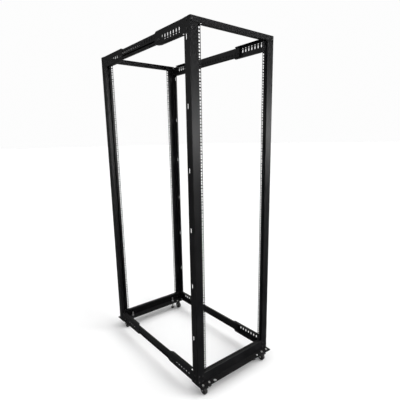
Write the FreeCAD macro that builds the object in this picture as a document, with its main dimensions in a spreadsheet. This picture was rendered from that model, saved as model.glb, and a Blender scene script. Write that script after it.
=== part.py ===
"""Open four-post equipment rack on casters, adjustable in depth.

The rack stands on the floor at Z = 0. X runs along its width, Y from its front (-Y) to its rear (+Y),
Z up. A front and a rear frame, each of two posts between a base beam and a top beam, carry mounting
rails with square holes. Four slotted middle rails slide in the frames' brackets and set the depth.
"""
import FreeCAD, Part
import math
import os
from types import SimpleNamespace

import Sketcher
from FreeCAD import Placement, Rotation, Vector

# Driving dimensions: alias, millimetres, meaning.
DIMENSIONS = [
    ("overall_width", 600, "across the outer faces of the posts"),
    ("rack_depth", 1018.6, "front face of the front posts to rear face of the rear posts"),
    ("caster_height", 74, "floor to the underside of the base beams"),
    ("frame_height", 1976, "underside of the base beams to the top of the top beams"),
    ("gauge", 2, "sheet of posts, brackets, middle rails and top beams"),
    ("base_gauge", 3, "sheet of base beams and caster plates"),
    ("outer_bend", 3, "outside bend radius"),
    ("inner_bend", 1, "inside bend radius"),
    ("fit_gap", 0.05, "radial clearance of running fits"),
    ("bolt_gap", 0.25, "radial clearance of bolt holes"),
    ("slide_gap", 0.3, "between sliding faces"),

    ("post_side", 48.5, "depth of a post's side wall"),
    ("post_face", 50, "width of a post's front wall"),
    ("post_lip", 12, "stiffening lip at the back of a post"),
    ("rail_recess", 14, "mounting rail face behind the post's front wall"),
    ("bay_width", 450, "clear opening between the mounting rails"),
    ("notch_inset", 4, "reach of a post's bottom notch into its front wall"),
    ("hole_spacing", 465.1, "between the two columns of mounting holes"),
    ("hole_size", 9.5, "side of a square mounting hole"),
    ("hole_step", 15.875, "between the holes of one rack unit"),
    ("unit_pitch", 44.45, "one rack unit"),
    ("unit_count", 42, "rack units"),
    ("lowest_hole", 79.8, "centre of the lowest mounting hole above the base underside"),
    ("vent_width", 14, "oblong hole in a post's side wall"),
    ("vent_length", 28, "oblong hole in a post's side wall"),
    ("vent_back", 33, "oblong holes behind the post's front face"),
    ("vent_rise", 298, "lowest oblong hole above the base underside"),
    ("vent_pitch", 317.5, "between the oblong holes of a post"),
    ("vent_count", 6, "oblong holes of a post"),

    ("top_beam_height", 29, "web of a top beam"),
    ("top_beam_depth", 25, "flanges of a top beam"),
    ("top_beam_inset", 4, "end of a top beam in from the post's side"),
    ("flange_gap", 1, "lower flange of a top beam clear of each mounting rail"),

    ("base_beam_height", 66, "top of a base beam above its underside"),
    ("base_top_depth", 29, "upper flange of a base beam"),
    ("base_web_inset", 25, "end of a base beam's web in from the post's side"),
    ("base_outreach", 38, "base plate in front of the posts"),
    ("base_inreach", 64, "base plate behind the post's front face"),
    ("base_bend", 4, "outside bend radius of a base beam"),
    ("base_corner", 6, "corner radius of the base plate"),
    ("base_bolt_x", 37, "bolts through a base beam's web from the post's side"),
    ("base_bolt_low", 18, "lower web bolt above the base underside"),
    ("base_bolt_high", 50, "upper web bolt above the base underside"),
    ("anchor_radius", 10.5, "floor anchor hole"),
    ("anchor_x", 187, "floor anchor holes from the middle"),
    ("anchor_out", 23, "floor anchor holes in front of the posts"),

    ("bracket_length", 315, "end tab to tip of a bracket"),
    ("bracket_height", 70, "web of a bracket"),
    ("bracket_flange", 24, "flanges of a bracket"),
    ("bracket_tab", 22, "end tab of a bracket, bolted behind the post's front wall"),
    ("bracket_neck", 62, "web of a bracket inside the post"),
    ("neck_length", 45, "narrow part of a bracket's web"),
    ("flange_start", 68, "where the flanges of a bracket begin"),
    ("flange_taper", 36, "slanting end of a bracket's flanges"),
    ("tip_chamfer", 10, "tip corners of a bracket, across it"),
    ("tip_run", 18, "tip corners of a bracket, along it"),
    ("column_first", 87, "first column of openings from the end tab"),
    ("column_pitch", 25.4, "between columns of openings"),
    ("column_count", 7, "columns of openings"),
    ("slot_radius", 4.25, "half the width of a bracket's upright slot"),
    ("slot_high", -0.25, "upper arc centre of an upright slot above the bracket's axis"),
    ("slot_low", -8.75, "lower arc centre of an upright slot above the bracket's axis"),
    ("dot_radius", 3.5, "round hole under each upright slot"),
    ("dot_height", -19.5, "round hole above the bracket's axis"),
    ("tab_bolt_x", 9, "end tab bolts from the bracket's outer face"),
    ("side_bolt_y", 23, "side wall bolts from the end tab"),
    ("bolt_offset", 20, "bracket bolts above and below its axis"),
    ("clamp_first", 273.5, "first clamp bolt from the end tab"),
    ("clamp_pitch", 16, "between the two clamp bolts of a bracket"),
    ("clamp_drop", 12, "clamp bolts from the axis of a bracket"),

    ("middle_length", 508.6, "middle rail"),
    ("middle_height", 56, "middle rail"),
    ("middle_depth", 16, "middle rail"),
    ("middle_slot", 9, "slot along the outer wall of a middle rail"),
    ("window_first", 243, "first upright slot of a middle rail from mid-length"),
    ("window_pitch", 27, "between the upright slots of a middle rail"),
    ("window_count", 19, "upright slots of a middle rail"),
    ("window_radius", 3, "half the width of a middle rail's upright slot"),
    ("window_low", 3, "lower arc centre of an upright slot above the rail's axis"),
    ("window_high", 14, "upper arc centre of an upright slot above the rail's axis"),
    ("channel_nut_length", 30, "channel nut along the middle rail"),
    ("channel_nut_height", 24, "channel nut across the middle rail"),
    ("channel_nut_depth", 5, "channel nut"),

    ("bolt_radius", 3, "M6 frame bolt"),
    ("bolt_head_radius", 5.5, "low head of a frame bolt"),
    ("bolt_head_height", 2.2, "low head of a frame or clamp bolt"),
    ("bolt_nut_radius", 5.77, "M6 nut, half its width across corners"),
    ("bolt_nut_height", 5, "M6 nut"),
    ("stud_radius", 4, "M8 clamp or caster bolt"),
    ("stud_head_radius", 7, "low head of an M8 bolt"),
    ("stud_nut_radius", 7.5, "M8 nut, half its width across corners"),
    ("stud_nut_height", 6, "M8 nut"),

    ("caster_x", 253, "swivel axis from the middle"),
    ("caster_inset", 16.3, "swivel axis behind the post's front face"),
    ("plate_width", 66, "caster plate along X"),
    ("plate_length", 88, "caster plate along Y"),
    ("plate_corner", 5, "corner radius of the caster plate"),
    ("plate_bolt_x", 23, "caster bolts from the swivel axis along X"),
    ("plate_bolt_y", 35, "caster bolts from the swivel axis along Y"),
    ("race_radius", 18, "swivel race under the plate"),
    ("race_depth", 9.7, "underside of the race below the base beam"),
    ("crown_radius", 19, "round crown of the fork"),
    ("crown_height", 6, "round crown of the fork"),
    ("kingpin_radius", 5, "kingpin"),
    ("kingpin_head", 8, "radius of the kingpin's head"),
    ("kingpin_head_height", 3, "kingpin's head"),
    ("fork_gap", 19.6, "between the fork's legs"),
    ("leg_gauge", 2.5, "fork leg"),
    ("leg_front", 12, "leg ahead of the swivel axis"),
    ("leg_back", 16, "leg behind the swivel axis"),
    ("trail", 13, "wheel axle behind the swivel axis"),
    ("boss_radius", 8.5, "rounded foot of a leg"),
    ("axle_radius", 4, "wheel axle"),
    ("axle_head_radius", 6.5, "heads of the axle"),
    ("axle_head_height", 3, "heads of the axle"),
    ("wheel_radius", 26, "caster wheel"),
    ("wheel_width", 18, "caster wheel"),
    ("hub_radius", 9, "caster wheel's hub"),
    ("rim_radius", 20, "inside of the tread ring"),
    ("wheel_web", 7, "disc between hub and tread ring"),
    ("tread_shoulder", 3, "chamfer of the tread"),
    ("pedal_back", 31, "brake pedal's pivot behind the swivel axis"),
    ("pedal_drop", 19, "brake pedal's pivot below the base beam"),
    ("pedal_pin_radius", 2.5, "brake pedal's pivot"),
    ("pedal_width", 18.4, "brake pedal"),
    ("pedal_reach", 15, "brake pedal beyond its pivot"),
    ("pedal_gauge", 3, "brake pedal"),
    ("pedal_stub", 8, "brake shoe below the pivot"),
    ("ear_radius", 5, "fork ear around the pedal's pivot"),

    ("foot_x", 196, "levelling feet from the middle"),
    ("foot_inset", 22.3, "levelling feet behind the post's front face"),
    ("foot_lift", 16, "underside of the pad above the floor"),
    ("pad_radius", 14, "foot pad"),
    ("pad_rim", 4, "straight edge of the pad"),
    ("pad_height", 10, "foot pad"),
    ("pad_neck", 8, "radius of the pad's top"),
    ("pad_floor", 3, "pad under the stem"),
    ("stem_radius", 6, "M12 stem"),
    ("stem_top", 110, "top of the stem above the floor"),
    ("collar_radius", 8.5, "wrench collar of the stem"),
    ("collar_height", 5, "wrench collar of the stem"),
    ("foot_nut_radius", 10.4, "M12 nut, half its width across corners"),
    ("weld_nut_height", 10, "nut under the base plate"),
    ("lock_nut_height", 6, "nut on the base plate"),
]


class Length:
    """A length in millimetres together with the sheet expression that gives it."""

    def __init__(self, value, text):
        self.value = value
        self.text = text

    def __add__(self, other):
        other = as_length(other)
        return Length(self.value + other.value, f"({self.text} + {other.text})")

    def __mul__(self, factor):
        return Length(self.value * factor, f"({self.text} * {factor})")

    def __neg__(self):
        return self * -1

    def __sub__(self, other):
        return self + -as_length(other)

    def __rsub__(self, other):
        return as_length(other) - self

    def __truediv__(self, divisor):
        return Length(self.value / divisor, f"({self.text} / {divisor})")

    __radd__ = __add__
    __rmul__ = __mul__


def as_length(item):
    return item if isinstance(item, Length) else Length(item, str(item))


doc = FreeCAD.newDocument("equipment_rack")
dim = SimpleNamespace(**{name: Length(value, f"Dims.{name}") for name, value, meaning in DIMENSIONS})
subparts = []


def make_sheet():
    """Spreadsheet with one row for each driving dimension."""
    sheet = doc.addObject("Spreadsheet::Sheet", "Dims")
    for row, (name, value, meaning) in enumerate(DIMENSIONS, start=1):
        sheet.set(f"A{row}", name)
        sheet.set(f"B{row}", str(value))
        sheet.set(f"C{row}", meaning)
        sheet.setAlias(f"B{row}", name)
    doc.recompute()


def place(item, x=0, y=0, z=0, axis=(0, 0, 1), turn=0):
    """Put an object's origin at a point, turned about an axis through that point."""
    spot = [as_length(value) for value in (x, y, z)]
    item.Placement = Placement(Vector(*[length.value for length in spot]), Rotation(Vector(*axis), turn))
    for name, length in zip("xyz", spot):
        item.setExpression(f".Placement.Base.{name}", length.text)


# ---- PartDesign helpers ------------------------------------------------------------------------

def make_body(label):
    body = doc.addObject("PartDesign::Body", label)
    body.Label = label
    subparts.append(body)
    return body


def make_sketch(body, role, offset=0):
    """Sketch on one of the body's own origin planes, moved by offset along its normal."""
    sketch = body.newObject("Sketcher::SketchObject", f"{body.Label}_sketch")
    plane = next(item for item in body.Origin.OriginFeatures if item.Role == role)
    sketch.AttachmentSupport = [(plane, "")]
    sketch.MapMode = "FlatFace"
    offset = as_length(offset)
    sketch.AttachmentOffset = Placement(Vector(0, 0, offset.value), Rotation())
    sketch.setExpression(".AttachmentOffset.Base.z", offset.text)
    return sketch


def pin_point(sketch, curve, point, x, y):
    """Fix a point of a curve at its distances from the sketch's origin."""
    for kind, axis, length in (("DistanceX", -2, as_length(x)), ("DistanceY", -1, as_length(y))):
        if abs(length.value) < 1e-9:
            sketch.addConstraint(Sketcher.Constraint("PointOnObject", curve, point, axis))
        else:
            pinned = Sketcher.Constraint(kind, -1, 1, curve, point, length.value)
            index = sketch.addConstraint(pinned)
            sketch.setExpression(f"Constraints[{index}]", length.text)


def pin_radius(sketch, curve, radius):
    index = sketch.addConstraint(Sketcher.Constraint("Radius", curve, radius.value))
    sketch.setExpression(f"Constraints[{index}]", radius.text)


def draw_outline(sketch, corners):
    """Closed straight-sided outline through its corners."""
    points = [Vector(as_length(x).value, as_length(y).value, 0) for x, y in corners]
    first = sketch.GeometryCount
    count = len(points)
    for index in range(count):
        sketch.addGeometry(Part.LineSegment(points[index], points[(index + 1) % count]), False)
    for index, (x, y) in enumerate(corners):
        following = first + (index + 1) % count
        sketch.addConstraint(Sketcher.Constraint("Coincident", first + index, 2, following, 1))
        pin_point(sketch, first + index, 1, x, y)


def draw_box(sketch, x0, y0, x1, y1):
    draw_outline(sketch, [(x0, y0), (x1, y0), (x1, y1), (x0, y1)])


def draw_circle(sketch, x, y, radius):
    centre = Vector(as_length(x).value, as_length(y).value, 0)
    curve = sketch.addGeometry(Part.Circle(centre, Vector(0, 0, 1), radius.value), False)
    pin_point(sketch, curve, 3, x, y)
    pin_radius(sketch, curve, radius)


def draw_slot(sketch, x, low, high, radius):
    """Upright oblong whose end arcs are centred at heights low and high."""
    bottom = Vector(x.value, low.value, 0)
    top = Vector(x.value, high.value, 0)
    side = Vector(radius.value, 0, 0)
    normal = Vector(0, 0, 1)
    curves = [
        Part.ArcOfCircle(Part.Circle(top, normal, radius.value), 0, math.pi),
        Part.LineSegment(top - side, bottom - side),
        Part.ArcOfCircle(Part.Circle(bottom, normal, radius.value), math.pi, 2 * math.pi),
        Part.LineSegment(bottom + side, top + side),
    ]
    first = sketch.GeometryCount
    for curve in curves:
        sketch.addGeometry(curve, False)
    for index in range(4):
        following = first + (index + 1) % 4
        sketch.addConstraint(Sketcher.Constraint("Tangent", first + index, 2, following, 1))
    pin_point(sketch, first, 3, x, high)
    pin_point(sketch, first + 2, 3, x, low)
    pin_radius(sketch, first, radius)


def pad(body, sketch, length, both_ways=False, backwards=False):
    feature = body.newObject("PartDesign::Pad", f"{body.Label}_pad")
    feature.Profile = sketch
    feature.setExpression("Length", length.text)
    feature.SideType = "Symmetric" if both_ways else "One side"
    feature.Reversed = backwards
    return feature


def cut_through(body, sketch):
    feature = body.newObject("PartDesign::Pocket", f"{body.Label}_cut")
    feature.Profile = sketch
    feature.Type = "ThroughAll"
    feature.SideType = "Symmetric"
    return feature


def cut_along_normal(body, sketch, depth, backwards=False):
    """Pocket on the side that the sketch's normal points to, or on the other side."""
    feature = body.newObject("PartDesign::Pocket", f"{body.Label}_cut")
    feature.Profile = sketch
    feature.setExpression("Length", depth.text)
    feature.Reversed = not backwards
    return feature


def cut_both_ways(body, sketch, width):
    """Pocket centred on the sketch's plane."""
    feature = body.newObject("PartDesign::Pocket", f"{body.Label}_cut")
    feature.Profile = sketch
    feature.setExpression("Length", width.text)
    feature.SideType = "Symmetric"
    return feature


def repeat(body, feature, sketch, direction, pitch, count):
    pattern = body.newObject("PartDesign::LinearPattern", f"{body.Label}_pattern")
    pattern.Originals = [feature]
    pattern.Direction = (sketch, [direction])
    pattern.setExpression("Length", f"({count.text} - 1) * {pitch.text}")
    pattern.setExpression("Occurrences", count.text)
    body.Tip = pattern


def revolve(body, sketch, axis):
    feature = body.newObject("PartDesign::Revolution", f"{body.Label}_turn")
    feature.Profile = sketch
    feature.ReferenceAxis = (sketch, [axis])
    feature.Angle = 360
    return feature


def straight_edges(shape, keep, corners):
    """Names of the edges along one axis that pass through corners; keep picks the other two axes."""
    names = []
    targets = [[as_length(value).value for value in corner] for corner in corners]
    for number, edge in enumerate(shape.Edges, start=1):
        start = [edge.Vertexes[0].Point[index] for index in keep]
        end = [edge.Vertexes[-1].Point[index] for index in keep]
        along = math.dist(edge.Vertexes[0].Point, edge.Vertexes[-1].Point)
        if along > 1 and math.dist(start, end) < 1e-6:
            if any(math.dist(start, target) < 1e-6 for target in targets):
                names.append(f"Edge{number}")
    return names


ACROSS_X, ACROSS_Y, ACROSS_Z = (1, 2), (0, 2), (0, 1)


def bend(body, feature, keep, corners, radius):
    """Round the straight edges that cross a plane at the given corners."""
    doc.recompute()
    fillet = body.newObject("PartDesign::Fillet", f"{body.Label}_bend")
    fillet.Base = (feature, straight_edges(feature.Shape, keep, corners))
    fillet.setExpression("Radius", radius.text)
    return fillet


# ---- Part helpers ------------------------------------------------------------------------------

def make_block(name, x0, x1, y0, y1, z0, z1):
    """Part::Box between two opposite corners."""
    block = doc.addObject("Part::Box", name)
    for side, low, high in (("Length", x0, x1), ("Width", y0, y1), ("Height", z0, z1)):
        block.setExpression(side, (as_length(high) - low).text)
    place(block, x0, y0, z0)
    return block


def make_round(name, radius, z0, z1, kind="Part::Cylinder"):
    """Upright cylinder, or hexagonal prism, on the Z axis."""
    item = doc.addObject(kind, name)
    item.setExpression("Circumradius" if kind == "Part::Prism" else "Radius", radius.text)
    item.setExpression("Height", (as_length(z1) - z0).text)
    place(item, z=z0)
    return item


def join(label, pieces):
    item = doc.addObject("Part::MultiFuse", label)
    item.Label = label
    item.Shapes = pieces
    return item


def subtract(label, base, tool):
    item = doc.addObject("Part::Cut", label)
    item.Label = label
    item.Base = base
    item.Tool = tool
    return item


def make_bolt(label, radius, head_radius, grip):
    """Low-head bolt on the Z axis, its head on top of Z = 0 and its shank below."""
    shank = make_round(f"{label}_shank", radius, -grip, dim.bolt_head_height / 2)
    head = make_round(f"{label}_head", head_radius, 0, dim.bolt_head_height)
    return join(label, [shank, head])


def make_nut(label, radius, height, hole):
    """Hexagonal nut on the Z axis, from Z = 0 down to -height."""
    hexagon = make_round(f"{label}_hexagon", radius, -height, 0, kind="Part::Prism")
    bore = make_round(f"{label}_bore", hole + dim.fit_gap, -height - 1, 1)
    return subtract(label, hexagon, bore)


def make_group(label, copies):
    """Separate copies of masters in one node: (master, x, y, z, turn axis, turn)."""
    links = []
    for master, x, y, z, axis, turn in copies:
        link = doc.addObject("App::Link", f"{label}_item")
        link.LinkedObject = master
        place(link, x, y, z, axis, turn)
        links.append(link)
    group = doc.addObject("Part::Compound", label)
    group.Label = label
    group.Links = links
    subparts.append(group)


# ---- places that several sub-parts share -------------------------------------------------------

half_width = dim.overall_width / 2
half_depth = dim.rack_depth / 2
frame_top = dim.caster_height + dim.frame_height
top_axis = frame_top - dim.gauge - dim.bracket_height / 2
base_axis = dim.caster_height + dim.base_gauge + dim.bracket_height / 2
bracket_out = half_width - dim.gauge
bracket_end = half_depth - dim.gauge
caster_y = half_depth - dim.caster_inset
foot_y = half_depth - dim.foot_inset
SIDES = (("left", -1), ("right", 1))
ENDS = (("front", -1), ("rear", 1))
LEVELS = (("top", top_axis), ("bottom", base_axis))


# ---- frames ------------------------------------------------------------------------------------

def make_post(label, x_sign, y_sign, turn):
    """Post whose origin is its outer corner on the base plate, with the rail towards +X, +Y."""
    body = make_body(label)
    height = dim.frame_height - dim.gauge - dim.base_gauge
    rail_edge = half_width - dim.bay_width / 2
    rail_back = dim.rail_recess + dim.gauge
    step_inside = dim.post_face - dim.gauge
    lip_inside = dim.post_side - dim.gauge
    profile = make_sketch(body, "XY_Plane")
    draw_outline(profile, [
        (dim.post_lip, dim.post_side), (0, dim.post_side), (0, 0), (dim.post_face, 0),
        (dim.post_face, dim.rail_recess), (rail_edge, dim.rail_recess), (rail_edge, rail_back),
        (step_inside, rail_back), (step_inside, dim.gauge), (dim.gauge, dim.gauge),
        (dim.gauge, lip_inside), (dim.post_lip, lip_inside)])
    column = pad(body, profile, height - dim.inner_bend)
    outer = [(0, dim.post_side), (0, 0), (dim.post_face, 0), (step_inside, rail_back)]
    inner = [(dim.gauge, lip_inside), (dim.gauge, dim.gauge), (step_inside, dim.gauge),
             (dim.post_face, dim.rail_recess)]
    column = bend(body, column, ACROSS_Z, outer, dim.outer_bend)
    bend(body, column, ACROSS_Z, inner, dim.inner_bend)

    # The rail ends above the base beam, and the lip leaves both bracket ends free.
    notch = make_sketch(body, "XZ_Plane")
    draw_box(notch, dim.post_face - dim.notch_inset, -1, rail_edge + 1,
             dim.base_beam_height - dim.base_gauge + dim.slide_gap)
    cut_through(body, notch)
    lip = make_sketch(body, "XZ_Plane", offset=-(dim.post_side - dim.outer_bend - dim.gauge))
    draw_box(lip, dim.gauge, -1, dim.post_lip + 1, dim.bracket_height + 1)
    draw_box(lip, dim.gauge, height - dim.bracket_height - 1, dim.post_lip + 1, height + 1)
    cut_along_normal(body, lip, dim.post_side, backwards=True)

    # Row of oblong holes and bracket bolt holes in the side wall.
    vent = make_sketch(body, "YZ_Plane")
    reach = (dim.vent_length - dim.vent_width) / 2
    middle = dim.vent_rise - dim.base_gauge
    draw_slot(vent, dim.vent_back, middle - reach, middle + reach, dim.vent_width / 2)
    opening = cut_along_normal(body, vent, dim.gauge * 2)
    repeat(body, opening, vent, "V_Axis", dim.vent_pitch, dim.vent_count)
    side = make_sketch(body, "YZ_Plane")
    bolt_hole = dim.bolt_radius + dim.bolt_gap
    low_axis = dim.bracket_height / 2
    for axis in (low_axis, height - low_axis):
        for offset in (-dim.bolt_offset, dim.bolt_offset):
            draw_circle(side, dim.side_bolt_y + dim.gauge, axis + offset, bolt_hole)
    cut_along_normal(body, side, dim.gauge * 2)

    # Bracket and base beam bolt holes in the front wall.
    front = make_sketch(body, "XZ_Plane")
    for axis in (low_axis, height - low_axis):
        for offset in (-dim.bolt_offset, dim.bolt_offset):
            draw_circle(front, dim.gauge + dim.tab_bolt_x, axis + offset, bolt_hole)
    for rise in (dim.base_bolt_low, dim.base_bolt_high):
        draw_circle(front, dim.base_bolt_x, rise - dim.base_gauge, bolt_hole)
    cut_through(body, front)

    # One rack unit of square holes, repeated up the rail.
    unit = make_sketch(body, "XZ_Plane")
    column_x = half_width - dim.hole_spacing / 2
    reach = dim.hole_size / 2
    for step in range(3):
        middle = dim.lowest_hole - dim.base_gauge + dim.hole_step * step
        draw_box(unit, column_x - reach, middle - reach, column_x + reach, middle + reach)
    repeat(body, cut_through(body, unit), unit, "V_Axis", dim.unit_pitch, dim.unit_count)
    place(body, half_width * x_sign, half_depth * y_sign, dim.caster_height + dim.base_gauge, turn=turn)
    return body


def mirror(source, label, normal):
    """The opposite hand of a sub-part, mirrored in the plane through the rack's origin."""
    copy = doc.addObject("Part::Mirroring", label)
    copy.Label = label
    copy.Source = source
    copy.Normal = Vector(*normal)
    subparts.append(copy)


def make_top_beam(label, y_sign, turn):
    """Channel whose web laps over both posts; origin at mid-width, on the posts' face and its top."""
    body = make_body(label)
    back = dim.top_beam_depth - dim.gauge
    top_length = dim.overall_width - dim.top_beam_inset * 2
    web = make_sketch(body, "YZ_Plane")
    draw_outline(web, [
        (-dim.gauge, -dim.top_beam_height), (0, -dim.top_beam_height), (0, -dim.gauge),
        (back, -dim.gauge), (back, 0), (-dim.gauge, 0)])
    angle = pad(body, web, top_length, both_ways=True)
    angle = bend(body, angle, ACROSS_X, [(-dim.gauge, 0)], dim.outer_bend)
    bend(body, angle, ACROSS_X, [(0, -dim.gauge)], dim.inner_bend)
    lower = make_sketch(body, "YZ_Plane")
    draw_box(lower, -dim.gauge / 2, -dim.top_beam_height, back, dim.gauge - dim.top_beam_height)
    pad(body, lower, dim.bay_width - dim.flange_gap * 2, both_ways=True)
    holes = make_sketch(body, "XZ_Plane")
    for sign in (-1, 1):
        draw_circle(holes, (bracket_out - dim.tab_bolt_x) * sign, top_axis + dim.bolt_offset - frame_top,
                    dim.bolt_radius + dim.bolt_gap)
    cut_through(body, holes)
    place(body, 0, half_depth * y_sign, frame_top, turn=turn)


def make_base_beam(label, y_sign, turn):
    """Base plate with an upright web and an inward top flange; origin under the posts' face."""
    body = make_body(label)
    web_front = dim.gauge
    web_back = dim.gauge + dim.base_gauge
    web_length = dim.overall_width - dim.base_web_inset * 2
    flange_back = web_front + dim.base_top_depth
    flange_low = dim.base_beam_height - dim.base_gauge
    section = make_sketch(body, "YZ_Plane")
    draw_outline(section, [
        (web_front, dim.base_gauge / 2), (web_back, dim.base_gauge / 2), (web_back, flange_low),
        (flange_back, flange_low), (flange_back, dim.base_beam_height), (web_front, dim.base_beam_height)])
    web = pad(body, section, web_length, both_ways=True)
    web = bend(body, web, ACROSS_X, [(web_front, dim.base_beam_height)], dim.base_bend)
    bend(body, web, ACROSS_X, [(web_back, flange_low)], dim.inner_bend)
    plate = make_sketch(body, "XY_Plane")
    draw_box(plate, -half_width, -dim.base_outreach, half_width, dim.base_inreach)
    base = pad(body, plate, dim.base_gauge)
    edges = (-dim.base_outreach, dim.base_inreach)
    corners = [(half_width * sign, edge) for sign in (-1, 1) for edge in edges]
    bend(body, base, ACROSS_Z, corners, dim.base_corner)

    holes = make_sketch(body, "XY_Plane")
    for sign in (-1, 1):
        draw_circle(holes, dim.anchor_x * sign, -dim.anchor_out, dim.anchor_radius)
        draw_circle(holes, dim.foot_x * sign, dim.foot_inset, dim.stem_radius + dim.slide_gap)
        for x_step in (-dim.plate_bolt_x, dim.plate_bolt_x):
            for y_step in (-dim.plate_bolt_y, dim.plate_bolt_y):
                draw_circle(holes, dim.caster_x * sign + x_step, dim.caster_inset + y_step,
                            dim.stud_radius + dim.bolt_gap)
    cut_along_normal(body, holes, dim.base_gauge * 2)
    bolts = make_sketch(body, "XZ_Plane")
    for sign in (-1, 1):
        for rise in (dim.base_bolt_low, dim.base_bolt_high):
            draw_circle(bolts, (half_width - dim.base_bolt_x) * sign, rise, dim.bolt_radius + dim.bolt_gap)
    cut_through(body, bolts)
    place(body, 0, half_depth * y_sign, dim.caster_height, turn=turn)


def make_bracket(label, x_sign, axis_height):
    """Slotted channel that holds a middle rail; origin on its axis at its outer end-tab corner.

    The right-hand bracket is the left-hand one turned over about its length.
    """
    body = make_body(label)
    high = dim.bracket_height / 2
    high_inside = high - dim.gauge
    profile = make_sketch(body, "XZ_Plane")
    draw_outline(profile, [
        (0, -high), (dim.bracket_flange, -high), (dim.bracket_flange, -high_inside),
        (dim.gauge, -high_inside), (dim.gauge, high_inside), (dim.bracket_flange, high_inside),
        (dim.bracket_flange, high), (0, high)])
    channel = pad(body, profile, dim.bracket_length, backwards=True)
    channel = bend(body, channel, ACROSS_Y, [(0, -high), (0, high)], dim.outer_bend)
    inside = [(dim.gauge, -high_inside), (dim.gauge, high_inside)]
    bend(body, channel, ACROSS_Y, inside, dim.inner_bend)

    # Narrow neck without flanges inside the post, and slanting corners at the tip.
    trim = make_sketch(body, "YZ_Plane")
    neck = dim.bracket_neck / 2
    tip = dim.bracket_length
    for sign in (-1, 1):
        draw_box(trim, -1, neck * sign, dim.neck_length, (high + 1) * sign)
        corner_end = (high - dim.tip_chamfer) * sign
        draw_outline(trim, [(tip - dim.tip_run, (high + 1) * sign), (tip - dim.tip_run, high * sign),
                            (tip, corner_end), (tip + 1, corner_end), (tip + 1, (high + 1) * sign)])
    cut_through(body, trim)
    flanges = make_sketch(body, "XY_Plane")
    beyond = dim.bracket_flange + 1
    draw_box(flanges, dim.outer_bend, -1, beyond, dim.flange_start)
    draw_outline(flanges, [(beyond, tip - dim.flange_taper), (beyond, tip + 1), (dim.gauge, tip + 1)])
    cut_through(body, flanges)
    tab = make_sketch(body, "XY_Plane")
    draw_box(tab, 0, 0, dim.bracket_tab, dim.gauge)
    corner = pad(body, tab, dim.bracket_neck, both_ways=True)
    corner = bend(body, corner, ACROSS_Z, [(0, 0)], dim.outer_bend)
    bend(body, corner, ACROSS_Z, [(dim.gauge, dim.gauge)], dim.inner_bend)

    tab_holes = make_sketch(body, "XZ_Plane")
    web_holes = make_sketch(body, "YZ_Plane")
    for offset in (-dim.bolt_offset, dim.bolt_offset):
        draw_circle(tab_holes, dim.tab_bolt_x, offset, dim.bolt_radius + dim.bolt_gap)
        draw_circle(web_holes, dim.side_bolt_y, offset, dim.bolt_radius + dim.bolt_gap)
    for step in range(2):
        clamp_y = dim.clamp_first + dim.clamp_pitch * step
        draw_circle(web_holes, clamp_y, -dim.clamp_drop, dim.stud_radius + dim.bolt_gap)
    cut_through(body, tab_holes)
    cut_through(body, web_holes)
    column = make_sketch(body, "YZ_Plane")
    draw_slot(column, dim.column_first, dim.slot_low, dim.slot_high, dim.slot_radius)
    draw_circle(column, dim.column_first, dim.dot_height, dim.dot_radius)
    repeat(body, cut_through(body, column), column, "H_Axis", dim.column_pitch, dim.column_count)
    place(body, bracket_out * x_sign, -bracket_end, axis_height, (0, 1, 0), 0 if x_sign < 0 else 180)
    return body


def make_middle_rail(label, x_sign, axis_height):
    """Channel with a long slot below its axis for the clamps and a row of upright slots above.

    Origin mid-length on its outer wall. The right-hand rail is the left-hand one turned over.
    """
    body = make_body(label)
    high = dim.middle_height / 2
    high_inside = high - dim.gauge
    slot_top = dim.middle_slot / 2 - dim.clamp_drop
    slot_bottom = -dim.middle_slot / 2 - dim.clamp_drop
    inside = dim.middle_depth - dim.gauge
    profile = make_sketch(body, "XZ_Plane")
    draw_outline(profile, [
        (0, slot_top), (0, high), (dim.middle_depth, high), (dim.middle_depth, -high), (0, -high),
        (0, slot_bottom), (dim.gauge, slot_bottom), (dim.gauge, -high_inside), (inside, -high_inside),
        (inside, high_inside), (dim.gauge, high_inside), (dim.gauge, slot_top)])
    rail = pad(body, profile, dim.middle_length, both_ways=True)
    outer = [(x, z) for x in (0, dim.middle_depth) for z in (-high, high)]
    inner = [(x, z) for x in (dim.gauge, inside) for z in (-high_inside, high_inside)]
    rail = bend(body, rail, ACROSS_Y, outer, dim.outer_bend)
    bend(body, rail, ACROSS_Y, inner, dim.inner_bend)
    window = make_sketch(body, "YZ_Plane")
    draw_slot(window, -dim.window_first, dim.window_low, dim.window_high, dim.window_radius)
    repeat(body, cut_through(body, window), window, "H_Axis", dim.window_pitch, dim.window_count)
    wall = bracket_out - dim.gauge - dim.slide_gap
    place(body, wall * x_sign, 0, axis_height, (0, 1, 0), 0 if x_sign < 0 else 180)


# ---- fasteners ---------------------------------------------------------------------------------

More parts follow.
